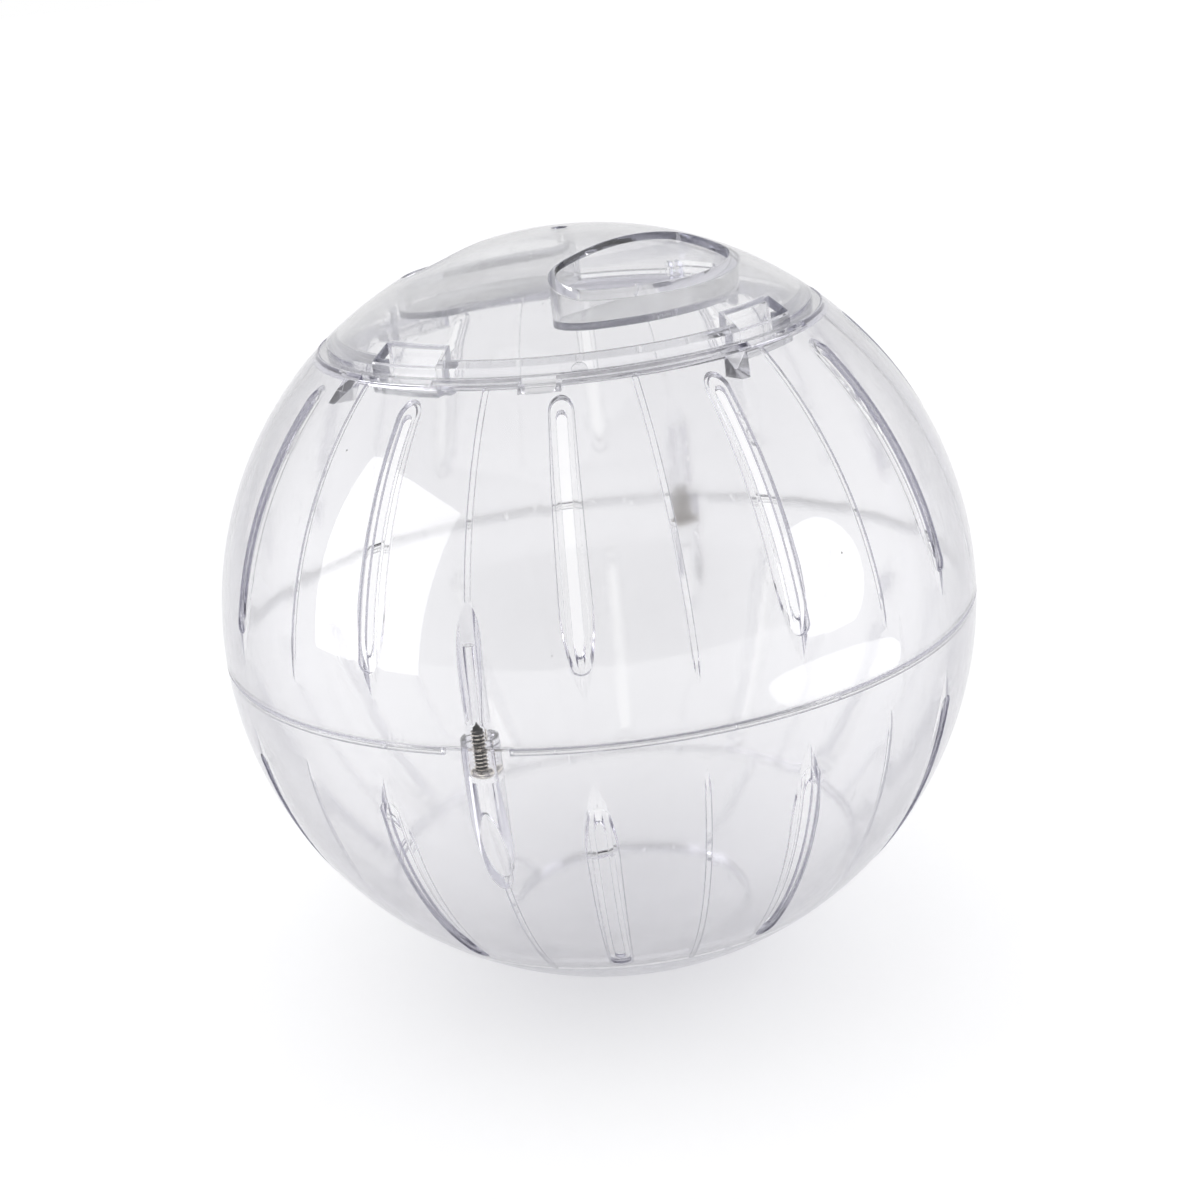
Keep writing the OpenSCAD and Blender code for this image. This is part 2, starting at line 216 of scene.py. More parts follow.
def turn_out(piece: bpy.types.Object) -> None:
    """Merges doubled points and turns every face outwards.

    Args:
        piece: Piece with a closed surface.
    """
    take(piece)
    bpy.ops.object.mode_set(mode="EDIT")
    bpy.ops.mesh.select_all(action="SELECT")
    bpy.ops.mesh.remove_doubles(threshold=TOUCH)
    bpy.ops.mesh.normals_make_consistent(inside=False)
    bpy.ops.object.mode_set(mode="OBJECT")


def round_edges(piece: bpy.types.Object, width: float) -> None:
    """Rounds the sharp edges of a piece.

    Args:
        piece: Piece that gets the rounding.
        width: Size of the rounding.
    """
    take(piece)
    bevel = piece.modifiers.new("rounding", "BEVEL")
    bevel.width = width
    bevel.segments = ROUNDING_STEPS
    bevel.limit_method = "ANGLE"
    bevel.angle_limit = SHARP_ANGLE
    bpy.ops.object.modifier_apply(modifier=bevel.name)


def settle(piece: bpy.types.Object, place: Matrix) -> None:
    """Moves a piece's mesh to its place, leaves its object at the origin and shades it.

    Args:
        piece: Piece that was modelled at the origin.
        place: Where it belongs.
    """
    piece.data.transform(place)
    piece.matrix_world = Matrix.Identity(4)
    take(piece)
    bpy.ops.object.shade_smooth_by_angle(angle=SMOOTH_ANGLE)


def heading_turn(heading: float) -> Matrix:
    """Rotation that takes +X to a heading, counted in degrees from -Y towards +X."""
    return Matrix.Rotation(math.radians(heading - 90), 4, "Z")


class ScrewPlace(Enum):
    """The two posts that hold a screw, with their headings in degrees."""

    FRONT = -18.2
    REAR = 161.8

    @property
    def painted_root_tone(self) -> str:
        """Tone painted into the thread's roots: painted shade on the front screw, painted
        lightness on the rear one.
        """
        return "#14110F" if self is ScrewPlace.FRONT else "#F0EEE9"

    @property
    def metallic(self) -> float:
        """Share of bare metal: less on the rear screw, which renders it duller."""
        return 1.0 if self is ScrewPlace.FRONT else 0.45


# --------------------------------------------------------------------------- finishes


@dataclass(frozen=True)
class ClearPolystyrene:
    """Clear general-purpose polystyrene, injection moulded in a polished tool.

    The eye gets hard, bright reflections of the lamps, slightly wavy from moulding, and dark
    grey-lavender edges where the light has to travel along the wall. The outline is greyer
    from painted shade: the colour darkens where the surface is seen at a low angle. The plain
    inside of the wall has a fine haze of wear, so the far side of the ball looks softer than
    the near side, while posts and pockets stay crisp. Light that has bounced about in the wall
    gets out in the end, which keeps the slots' edges pale.

    Attributes:
        name: Name of the material.
        tint: Colour that one pass through a face leaves, as sRGB hex.
        painted_edge_shade: Painted shade that the colour turns to where the surface is seen at a
            low angle.
        edge_power: How narrow the band of that painted shade is along the outline.
        depth_colour: Colour that light turns to inside the wall, as sRGB hex.
        density: How fast light turns to that colour, per metre of plastic.
        lamp_colour: Colour that lamp light keeps behind the wall, as sRGB hex.
        ior: Refractive index of polystyrene.
        clearness: Share of light that the plastic lets in.
        inner_bounces: Bounces inside the wall after which light gets out.
        polish: Roughness of the outer face.
        haze: Roughness added on the plain inside of the wall.
        inner_radius: Radius of that inside.
        inner_fade: Distances from that inside over which the haze ends.
        smudge_size: Width of the patches that use has dulled.
        smudge_range: Values of the cloud pattern between which a smudge fades in.
        smudge_dulling: Roughness that a smudge adds.
        scratch_spacing: Width of the scratch pattern's cells.
        scratch_courses: Turn in degrees and stretch of each direction of scratches.
        scratch_tilt: Tilt of the scratches about X and Z, in radians.
        scratch_range: Values of the streak pattern between which a scratch fades in.
        scratch_dulling: Roughness that a scratch adds.
        scratch_depth: Depth of a scratch.
        scratch_strength: Share of that depth that the light follows.
        speck_spacing: Distance from one speck of dust to the next.
        speck_radius: Radius of a speck.
        speck_core: Share of that radius that is fully dark.
        speck_colour: Colour of the dust, as sRGB hex.
        wave_size: Width of the moulding waves.
        wave_height: Height of the moulding waves.
        edge_radius: How round the moulding's edges are.
        edge_samples: Samples that find those edges.
        screw_room: Radius round a screw's axis within which the bore fits it tightly.
        screw_low: Height at which that fit begins.
        screw_high: Height at which it ends.
        screw_fade: Height over which it comes and goes.
    """

    name: str
    tint: str = "#FEFEFE"
    # Painted shade along the outline and on walls seen edge-on.
    painted_edge_shade: str = "#6E6E74"
    edge_power: float = 4.0
    depth_colour: str = "#8E8BA6"
    density: float = 38.0
    lamp_colour: str = "#FAFAFB"
    ior: float = 1.59
    clearness: float = 0.99
    inner_bounces: float = 3.5
    polish: float = 0.02
    haze: float = 0.07
    inner_radius: float = 88.0 * MM
    inner_fade: tuple[float, float] = (0.15 * MM, 0.35 * MM)
    smudge_size: float = 25 * MM
    smudge_range: tuple[float, float] = (0.52, 0.78)
    smudge_dulling: float = 0.05
    scratch_spacing: float = 1.6 * MM
    scratch_courses: tuple[tuple[float, float], ...] = ((35, 26.0), (-50, 32.0))
    scratch_tilt: tuple[float, float] = (0.3, 0.5)
    scratch_range: tuple[float, float] = (0.7, 0.74)
    scratch_dulling: float = 0.12
    scratch_depth: float = 0.004 * MM
    scratch_strength: float = 0.5
    speck_spacing: float = 15 * MM
    speck_radius: float = 0.3 * MM
    speck_core: float = 0.6
    speck_colour: str = "#3A3836"
    wave_size: float = 14 * MM
    wave_height: float = 0.012 * MM
    edge_radius: float = 0.32 * MM
    edge_samples: int = 4
    screw_room: float = 2.98 * MM
    screw_low: float = -8.2 * MM
    screw_high: float = 4.7 * MM
    screw_fade: float = 0.4 * MM

    def material(self) -> bpy.types.Material:
        """Builds the node material.

        Returns:
            The material.
        """
        made = fresh_material(self.name)
        tree = made.node_tree
        place = add_node(tree, "ShaderNodeTexCoord").outputs["Object"]
        scratch = self._scratches(tree, place)
        # Dust specks over the tint, which carries painted shade along the outline.
        colour = add_node(
            tree,
            "ShaderNodeMix",
            {
                FACTOR: self._specks(tree, place),
                FIRST: self._tint_and_outline_shade(tree),
                SECOND: linear_from_hex(self.speck_colour),
            },
            data_type="RGBA",
        ).outputs[MIXED]
        rough = self.polish
        for share, dulling in (
            (self._inner_share(tree, place), self.haze),
            (self._smudges(tree, place), self.smudge_dulling),
            (scratch, self.scratch_dulling),
        ):
            rough = add_node(
                tree, "ShaderNodeMath", {0: share, 1: dulling, 2: rough}, operation="MULTIPLY_ADD"
            )
        plastic = add_node(
            tree,
            "ShaderNodeBsdfPrincipled",
            {
                "Base Color": colour,
                "Roughness": rough,
                "IOR": self.ior,
                "Transmission Weight": self.clearness,
                "Normal": self._relief(tree, place, scratch),
            },
        )
        # The screw cuts its thread tight into the post, so no air shows round it there.
        tight = add_node(tree, "ShaderNodeBsdfTransparent", {"Color": WHITE})
        fitted = add_node(
            tree, "ShaderNodeMixShader", {0: self._screw_fit(tree, place), 1: plastic, 2: tight}
        )
        # A clear wall lets most lamp light on to the floor behind it.
        passed = add_node(
            tree, "ShaderNodeBsdfTransparent", {"Color": linear_from_hex(self.lamp_colour)}
        )
        surface = add_node(
            tree, "ShaderNodeMixShader", {0: self._passed_share(tree), 1: fitted, 2: passed}
        )
        inside = add_node(
            tree,
            "ShaderNodeVolumeAbsorption",
            {"Color": linear_from_hex(self.depth_colour), "Density": self.density},
        )
        add_node(tree, "ShaderNodeOutputMaterial", {"Surface": surface, "Volume": inside})
        return made

    def _tint_and_outline_shade(self, tree: Tree) -> Socket:
        """Tint of the plastic, with painted shade that darkens it where the surface is seen at a
        low angle.

        Args:
            tree: Node tree that takes the nodes.

        Returns:
            Socket that gives the colour.
        """
        # Painted shade: the colour darkens towards the outline and on walls seen edge-on.
        facing = add_node(tree, "ShaderNodeLayerWeight").outputs["Facing"]
        share = add_node(
            tree, "ShaderNodeMath", {0: facing, 1: self.edge_power}, operation="POWER"
        )
        return add_node(
            tree,
            "ShaderNodeMix",
            {
                FACTOR: share,
                FIRST: linear_from_hex(self.tint),
                SECOND: linear_from_hex(self.painted_edge_shade),
            },
            data_type="RGBA",
        ).outputs[MIXED]

    def _passed_share(self, tree: Tree) -> Node:
        """Picks lamp light, and light that has bounced inside the wall and now leaves it.

        Args:
            tree: Node tree that takes the nodes.

        Returns:
            Node that gives 1 for such light, and 0 for the rest.
        """
        path = add_node(tree, "ShaderNodeLightPath").outputs
        trapped = add_node(
            tree,
            "ShaderNodeMath",
            {0: path["Glossy Depth"], 1: self.inner_bounces},
            operation="GREATER_THAN",
        )
        return add_node(
            tree, "ShaderNodeMath", {0: path["Is Shadow Ray"], 1: trapped}, operation="MAXIMUM"
        )

    def _inner_share(self, tree: Tree, place: Socket) -> Node:
        """Finds the plain inside of the wall.

        Args:
            tree: Node tree that takes the nodes.
            place: Place on the ball.

        Returns:
            Node that gives 1 there, and 0 on posts, pockets, edges and the outside.
        """
        reach = add_node(tree, "ShaderNodeVectorMath", {0: place}, operation="LENGTH")
        off = add_node(
            tree,
            "ShaderNodeMath",
            {0: reach.outputs["Value"], 1: self.inner_radius},
            operation="SUBTRACT",
        )
        gap = add_node(tree, "ShaderNodeMath", {0: off}, operation="ABSOLUTE")
        start, end = self.inner_fade
        return add_node(
            tree,
            "ShaderNodeMapRange",
            {"Value": gap, "From Min": start, "From Max": end, "To Min": 1.0, "To Max": 0.0},
        )

    def _screw_fit(self, tree: Tree, place: Socket) -> Node:
        """Finds the bore walls that lie against a screw's thread or head.

        Args:
            tree: Node tree that takes the nodes.
            place: Place on the ball.

        Returns:
            Node that gives 1 there, and 0 elsewhere.
        """
        height = add_node(tree, "ShaderNodeSeparateXYZ", {0: place}).outputs["Z"]
        above = add_node(
            tree,
            "ShaderNodeMapRange",
            {
                "Value": height,
                "From Min": self.screw_low,
                "From Max": self.screw_low + self.screw_fade,
            },
        )
        below = add_node(
            tree,
            "ShaderNodeMapRange",
            {
                "Value": height,
                "From Min": self.screw_high - self.screw_fade,
                "From Max": self.screw_high,
                "To Min": 1.0,
                "To Max": 0.0,
            },
        )
        band = add_node(tree, "ShaderNodeMath", {0: above, 1: below}, operation="MULTIPLY")
        flat = add_node(tree, "ShaderNodeVectorMath", {0: place, 1: LEVEL}, operation="MULTIPLY")
        near = []
        for screw in ScrewPlace:
            axis = tuple(heading_turn(screw.value) @ Vector((SCREW_REACH, 0, 0)))
            gap = add_node(tree, "ShaderNodeVectorMath", {0: flat, 1: axis}, operation="DISTANCE")
            near.append(
                add_node(
                    tree,
                    "ShaderNodeMath",
                    {0: gap.outputs["Value"], 1: self.screw_room},
                    operation="LESS_THAN",
                )
            )
        either = add_node(tree, "ShaderNodeMath", dict(enumerate(near)), operation="MAXIMUM")
        return add_node(tree, "ShaderNodeMath", {0: either, 1: band}, operation="MULTIPLY")

    def _smudges(self, tree: Tree, place: Socket) -> Node:
        """Soft patches where use has dulled the polish.

        Args:
            tree: Node tree that takes the nodes.
            place: Place on the ball.

        Returns:
            Node that gives 1 in the middle of a patch, and 0 between patches.
        """
        cloud = add_node(
            tree,
            "ShaderNodeTexNoise",
            {"Vector": place, "Scale": 1 / self.smudge_size, "Detail": 4.0},
        )
        low, high = self.smudge_range
        return add_node(
            tree, "ShaderNodeMapRange", {"Value": cloud, "From Min": low, "From Max": high}
        )

    def _scratches(self, tree: Tree, place: Socket) -> Node:
        """Short scratches in two directions, from rolling on floors.

        Real ones are finer. They are drawn as wide as they need to be to show.

        Args:
            tree: Node tree that takes the nodes.
            place: Place on the ball.

        Returns:
            Node that gives 1 in a scratch, and 0 beside it.
        """
        low, high = self.scratch_range
        tilt_x, tilt_z = self.scratch_tilt
        courses = []
        for turn, stretch in self.scratch_courses:
            turned = add_node(
                tree,
                "ShaderNodeMapping",
                {
                    "Vector": place,
                    "Rotation": (tilt_x, math.radians(turn), tilt_z),
                    "Scale": (stretch, stretch, 1.0),
                },
            )
            streak = add_node(
                tree,
                "ShaderNodeTexNoise",
                {"Vector": turned, "Scale": 1 / (self.scratch_spacing * stretch), "Detail": 2.0},
            )
            courses.append(
                add_node(
                    tree,
                    "ShaderNodeMapRange",
                    {"Value": streak, "From Min": low, "From Max": high},
                )
            )
        return add_node(tree, "ShaderNodeMath", dict(enumerate(courses)), operation="MAXIMUM")

    def _specks(self, tree: Tree, place: Socket) -> Node:
        """Single dark specks of dust, drawn large enough to show.

        Args:
            tree: Node tree that takes the nodes.
            place: Place on the ball.

        Returns:
            Node that gives 1 in a speck, and 0 beside it.
        """
        cells = add_node(
            tree, "ShaderNodeTexVoronoi", {"Vector": place, "Scale": 1 / self.speck_spacing}
        )
        edge = self.speck_radius / self.speck_spacing
        return add_node(
            tree,
            "ShaderNodeMapRange",
            {
                "Value": cells.outputs["Distance"],
                "From Min": self.speck_core * edge,
                "From Max": edge,
                "To Min": 1.0,
                "To Max": 0.0,
            },
        )

    def _relief(self, tree: Tree, place: Socket, scratch: Node) -> Node:
        """Surface with rounded edges, moulding waves and scratches.

        Args:
            tree: Node tree that takes the nodes.
            place: Place on the ball.
            scratch: Node that gives 1 in a scratch.

        Returns:
            Node that gives the normal.
        """
        rounded = add_node(
            tree, "ShaderNodeBevel", {"Radius": self.edge_radius}, samples=self.edge_samples
        )
        waves = add_node(
            tree,
            "ShaderNodeTexNoise",
            {"Vector": place, "Scale": 1 / self.wave_size, "Detail": 1.0},
        )
        wavy = add_node(
            tree,
            "ShaderNodeBump",
            {"Height": waves, "Distance": self.wave_height, "Strength": 1.0, "Normal": rounded},
        )
        return add_node(
            tree,
            "ShaderNodeBump",
            {
                "Height": scratch,
                "Distance": self.scratch_depth,
                "Strength": self.scratch_strength,
                "Normal": wavy,
            },
            invert=True,
        )


@dataclass(frozen=True)
class NickelPlate:
    """Bright nickel, plated on a rolled steel screw.

    The eye gets a warm pale metal with sharp, slightly uneven reflections. The thread's roots
    carry a painted tone; where it is dark, that painted shade sets the bright crests off.

    Attributes:
        name: Name of the material.
        axis: Point on the screw's axis.
        painted_root_tone: Tone painted into the thread's roots, as sRGB hex: painted shade or
            painted lightness.
        metallic: Share of bare metal.
        colour: Plated metal, as sRGB hex.
        roughness: Roughness of the plating, before its grain.
        root_radius: Distance from the axis up to which the painted root tone reaches.
        crest_radius: Distance from the axis at which the plated colour takes over from that tone.
        grain_size: Width of the plating's grain, coarser than real so that it shows.
        grain_range: Values of the grain pattern that the dulling covers.
        grain_dulling: Roughness added at the two ends of that range.
        grain_height: Height of the grain.
        grain_strength: Share of that height that the light follows.
    """

    name: str
    axis: Point
    painted_root_tone: str
    metallic: float
    colour: str = "#E8E3DA"
    roughness: float = 0.11
    root_radius: float = 1.25 * MM
    crest_radius: float = 1.42 * MM
    grain_size: float = 0.5 * MM
    grain_range: tuple[float, float] = (0.35, 0.75)
    grain_dulling: tuple[float, float] = (-0.05, 0.14)
    grain_height: float = 0.006 * MM
    grain_strength: float = 0.6

    def material(self) -> bpy.types.Material:
        """Builds the node material.

        Returns:
            The material.
        """
        made = fresh_material(self.name)
        tree = made.node_tree
        place = add_node(tree, "ShaderNodeTexCoord").outputs["Object"]
        grain = add_node(
            tree,
            "ShaderNodeTexNoise",
            {"Vector": place, "Scale": 1 / self.grain_size, "Detail": 3.0},
        )
        low, high = self.grain_range
        bright, dull = self.grain_dulling
        dulling = add_node(
            tree,
            "ShaderNodeMapRange",
            {"Value": grain, "From Min": low, "From Max": high, "To Min": bright, "To Max": dull},
        )
        rough = add_node(
            tree, "ShaderNodeMath", {0: dulling, 1: self.roughness}, operation="ADD"
        )
        bump = add_node(
            tree,
            "ShaderNodeBump",
            {
                "Height": grain,
                "Distance": self.grain_height,
                "Strength": self.grain_strength,
            },
        )
        metal = add_node(
            tree,
            "ShaderNodeBsdfPrincipled",
            {
                "Base Color": self._colour(tree, place),
                "Metallic": self.metallic,
                "Roughness": rough,
                "Normal": bump,
            },
        )
        add_node(tree, "ShaderNodeOutputMaterial", {"Surface": metal})
        return made

    def _colour(self, tree: Tree, place: Socket) -> Socket:
        """Colour of the thread, from the tone painted into its roots to the plated metal at its
        crests.

        Args:
            tree: Node tree that takes the nodes.
            place: Place on the screw.

        Returns:
            Socket that gives the colour.
        """
        centred = add_node(
            tree, "ShaderNodeMapping", {"Vector": place, "Location": tuple(-c for c in self.axis)}
        )
        flat = add_node(tree, "ShaderNodeVectorMath", {0: centred, 1: LEVEL}, operation="MULTIPLY")
        reach = add_node(tree, "ShaderNodeVectorMath", {0: flat}, operation="LENGTH")
        crest = add_node(
            tree,
            "ShaderNodeMapRange",
            {
                "Value": reach.outputs["Value"],
                "From Min": self.root_radius,
                "From Max": self.crest_radius,
            },
        )
        # Painted tone in the thread's roots, in place of their shade or of the veil over them.
        return add_node(
            tree,
            "ShaderNodeMix",
            {
                FACTOR: crest,
                FIRST: linear_from_hex(self.painted_root_tone),
                SECOND: linear_from_hex(self.colour),
            },
            data_type="RGBA",
        ).outputs[MIXED]


@dataclass(frozen=True)
class StudioPaper:
    """Matt white studio paper, rolled out: the floor and, seen from afar, the background.

    The eye gets an even white with no gloss, in which only the ball's shadow shows.

    Attributes:
        name: Name of the material.
        colour: Colour of the paper, as sRGB hex.
        lift: Brightness added where the paper is seen, which keeps it white beside its shadow.
        roughness: Roughness of the paper.
        gloss: Level of its reflections.
        fibre_size: Width of its fibres, far coarser than real so that they show.
        fibre_height: Height of its fibres.
        fibre_strength: Share of that height that the light follows.
    """

    name: str = "studio_paper"
    colour: str = "#F6F6F7"
    lift: float = 0.26
    roughness: float = 0.9
    gloss: float = 0.1
    fibre_size: float = 2 * MM
    fibre_height: float = 0.02 * MM
    fibre_strength: float = 0.3

    def material(self) -> bpy.types.Material:
        """Builds the node material.

        Returns:
            The material.
        """
        made = fresh_material(self.name)
        tree = made.node_tree
        place = add_node(tree, "ShaderNodeTexCoord").outputs["Object"]
        fibre = add_node(
            tree,
            "ShaderNodeTexNoise",
            {"Vector": place, "Scale": 1 / self.fibre_size, "Detail": 3.0},
        )
        bump = add_node(
            tree,
            "ShaderNodeBump",
            {
                "Height": fibre,
                "Distance": self.fibre_height,
                "Strength": self.fibre_strength,
            },
        )
        lifted = add_node(
            tree, "ShaderNodeMath", {0: ray_is_seen(tree), 1: self.lift}, operation="MULTIPLY"
        )
        paper = add_node(
            tree,
            "ShaderNodeBsdfPrincipled",
            {
                "Base Color": linear_from_hex(self.colour),
                "Roughness": self.roughness,
                "Specular IOR Level": self.gloss,
                "Normal": bump,
                "Emission Color": WHITE,
                "Emission Strength": lifted,
            },
        )
        add_node(tree, "ShaderNodeOutputMaterial", {"Surface": paper})
        return made


# --------------------------------------------------------------------------- the ball's parts


@dataclass
class MouldedPart:
    """One clear moulding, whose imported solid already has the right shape.

    Attributes:
        node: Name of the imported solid.
        finish: Plastic that it is moulded in.
    """

    node: str
    finish: ClearPolystyrene

    def dress(self) -> bpy.types.Object:
        """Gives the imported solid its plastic.

        Returns:
            The solid's object.
        """
        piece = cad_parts[self.node]
        plastic = self.finish.material()
        for slot in piece.material_slots:
            slot.material = plastic
        return piece


@dataclass
class GateMark:
    """The half-round mark that the mould's gate leaves on the lid's rim, over its flange.

    Attributes:
        heading: Heading of its middle, in degrees.
        reach: Radius of the rim's upright face.
        foot: Height of the flange that it stands on.
        radius: Radius of its outline.
        proud: How far it stands out of the rim.
        rounding: Size of the bevel round its face.
        sides: Faces round the disc that it is cut from.
    """

    heading: float = 1.05
    reach: float = 56.03 * MM
    foot: float = 68.52 * MM
    radius: float = 1.75 * MM
    proud: float = 0.25 * MM
    rounding: float = 0.1 * MM
    sides: int = 64

    def build(self, plastic: bpy.types.Material) -> bpy.types.Object:
        """Models the mark, lays it on the rim and gives it the lid's plastic.

        Args:
            plastic: Material of the lid.

        Returns:
            The finished piece.
        """
        deselect_all()
        bpy.ops.mesh.primitive_cylinder_add(
            vertices=self.sides, radius=self.radius, depth=2 * self.proud, location=(0, 0, 0)
        )
        mark = bpy.context.active_object
        mark.name = mark.data.name = "lid_gate_mark"
        slice_off((0, 0, 0), (1, 0, 0))
        round_edges(mark, self.rounding)
        outwards = Matrix.Rotation(math.radians(90), 4, "Y")  # its face looks away from the axis
        turn = heading_turn(self.heading)
        seat = turn @ Vector((self.reach, 0, self.foot))
        settle(mark, Matrix.Translation(seat) @ turn @ outwards)
        mark.data.materials.append(plastic)
        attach(mark, "lid")
        return mark


@dataclass
class PanHeadScrew:
    """A thread-forming screw for plastic, head down, that pulls the halves together.

    Attributes:
        place: Post that the screw sits in.
        seat: Height of the head's seat.
        length: Length under the head.
        point: Length of the tapering point.
        point_loss: Share of its radius that the point has lost at its end.
        point_curve: How late on its way the point gets thin.
        crest: Radius over the thread.
        root: Radius of the core.
        pitch: Distance from one turn of the thread to the next.
        core_share: Share of the pitch that shows the core.
        flank_share: Share of the pitch that each flank of the thread takes.
        crest_share: Share of the pitch that the thread's crest takes.
        turn_steps: Faces round one turn.
        foot: How far the shank reaches into the head.
        head_radius: Radius of the head.
        head_height: Height of the head.
        head_waist: Share of its height at which the head is widest.
        head_sides: Faces round the head.
        head_rings: Faces from its top to its bottom, before it is cut at the seat.
        head_rounding: Size of the bevel on its edges.
        cross_span: Tip-to-tip size of the cross recess.
        cross_width: Width of each arm of the cross.
        cross_depth: Depth of the cross.
        cross_floor: Size of the cross at its floor, as a share of its size at the top.
    """

    place: ScrewPlace
    seat: float = -5.1 * MM
    length: float = 9.6 * MM
    point: float = 1.9 * MM
    point_loss: float = 0.88
    point_curve: float = 1.25
    crest: float = 1.6 * MM
    root: float = 1.22 * MM
    pitch: float = 0.84 * MM
    core_share: float = 0.32
    flank_share: float = 0.29
    crest_share: float = 0.10
    turn_steps: int = 28
    foot: float = 0.4 * MM
    head_radius: float = 2.6 * MM
    head_height: float = 2.4 * MM
    head_waist: float = 0.42
    head_sides: int = 64
    head_rings: int = 32
    head_rounding: float = 0.12 * MM
    cross_span: float = 2.9 * MM
    cross_width: float = 0.62 * MM
    cross_depth: float = 1.3 * MM
    cross_floor: float = 0.55

    @property
    def node(self) -> str:
        """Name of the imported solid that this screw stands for."""
        return f"screw_{self.place.name.lower()}"

    @property
    def axis_point(self) -> Vector:
        """Where the screw's axis meets the seat of its head."""
        return heading_turn(self.place.value) @ Vector((SCREW_REACH, 0, self.seat))

    def build(self) -> bpy.types.Object:
        """Models the screw, places it and gives it its plating.

        Returns:
            The finished piece.
        """
        screw = self._thread()
        join_to(screw, self._head())  # the closed foot of the shank stands inside the head
        screw.name = screw.data.name = f"threaded_{self.node}"
        settle(screw, Matrix.Translation(self.axis_point) @ heading_turn(self.place.value))
        plating = NickelPlate(
            f"bright_nickel_{self.node}",
            tuple(self.axis_point),
            painted_root_tone=self.place.painted_root_tone,
            metallic=self.place.metallic,
        )
        screw.data.materials.clear()
        screw.data.materials.append(plating.material())
        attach(screw, "ball")
        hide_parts(self.node)
        return screw

    def _thread(self) -> bpy.types.Object:
        """Models the shank: the thread's profile screwed up its length, cut and pointed.

        Returns:
            The shank, closed at both ends.
        """
        thread = self._profile()
        helix = thread.modifiers.new("helix", "SCREW")
        helix.axis = "Z"
        helix.steps = helix.render_steps = self.turn_steps
        helix.screw_offset = self.pitch
        helix.iterations = math.ceil(self.length / self.pitch) + 3  # some to cut off at each end
        helix.use_merge_vertices = True
        helix.merge_threshold = TOUCH
        helix.use_normal_calculate = True
        bpy.ops.object.modifier_apply(modifier=helix.name)
        slice_off((0, 0, -self.foot), (0, 0, 1), beyond=False)
        slice_off((0, 0, self.length), (0, 0, 1))
        shoulder = self.length - self.point
        for vertex in thread.data.vertices:
            rise = (vertex.co.z - shoulder) / self.point
            if rise > 0:
                share = 1 - self.point_loss * rise**self.point_curve
                vertex.co.x *= share
                vertex.co.y *= share
        turn_out(thread)
        return thread

    def _profile(self) -> bpy.types.Object:
        """Draws one pitch of the thread's outline, below the head's seat.

        Returns:
            The outline, a row of edges beside the screw's axis.
        """
        deselect_all()
        bpy.ops.mesh.primitive_plane_add(size=self.root, location=(0, 0, 0))
        outline = bpy.context.active_object
        bpy.ops.object.mode_set(mode="EDIT")
        bpy.ops.mesh.select_all(action="SELECT")
        bpy.ops.mesh.merge(type="CENTER")
        bpy.ops.transform.translate(value=(self.root, 0, -2 * self.pitch))  # two turns to cut off
        rise = self.crest - self.root
        for step in (
            (0, 0, self.core_share * self.pitch),
            (rise, 0, self.flank_share * self.pitch),
            (0, 0, self.crest_share * self.pitch),
            (-rise, 0, self.flank_share * self.pitch),
        ):
            bpy.ops.mesh.extrude_region_move(TRANSFORM_OT_translate={"value": step})
        bpy.ops.object.mode_set(mode="OBJECT")
        return outline

    def _head(self) -> bpy.types.Object:
        """Models the domed head with its seat face and cross recess.

        Returns:
            The head, seat up, at the top of the screw's axis.
        """
        waist = self.head_waist * self.head_height
        deselect_all()
        bpy.ops.mesh.primitive_uv_sphere_add(
            segments=self.head_sides, ring_count=self.head_rings, radius=1, location=(0, 0, -waist)
        )
        head = bpy.context.active_object
        head.scale = (self.head_radius, self.head_radius, self.head_height - waist)
        bpy.ops.object.transform_apply(location=True, rotation=True, scale=True)
        slice_off((0, 0, 0), (0, 0, 1))
        for turn in (0, 90):
            cut_out(head, self._cross_arm(turn))
        round_edges(head, self.head_rounding)
        return head

    def _cross_arm(self, turn: float) -> bpy.types.Object:
        """Models one arm of the cross recess, narrower towards its floor.

        Args:
            turn: Turn of the arm about the screw's axis, in degrees.

        Returns:
            The arm, to be cut out of the head.
        """
        deselect_all()
        bpy.ops.mesh.primitive_cube_add(size=1, location=(0, 0, -self.head_height))
        arm = bpy.context.active_object
        arm.scale = (self.cross_span, self.cross_width, 2 * self.cross_depth)
        arm.rotation_euler.z = math.radians(turn)
        bpy.ops.object.transform_apply(location=True, rotation=True, scale=True)
        for vertex in arm.data.vertices:
            if vertex.co.z > -self.head_height:
                vertex.co.x *= self.cross_floor
                vertex.co.y *= self.cross_floor
        return arm


# --------------------------------------------------------------------------- studio and camera


class BoxShape(Enum):
    """Outline of a soft box's face."""

    WINDOW = "RECTANGLE"
    ROUNDED = "ELLIPSE"

    @property
    def filled(self) -> float:
        """Share of its width times its height that the face fills."""
        return 1.0 if self is BoxShape.WINDOW else math.pi / 4


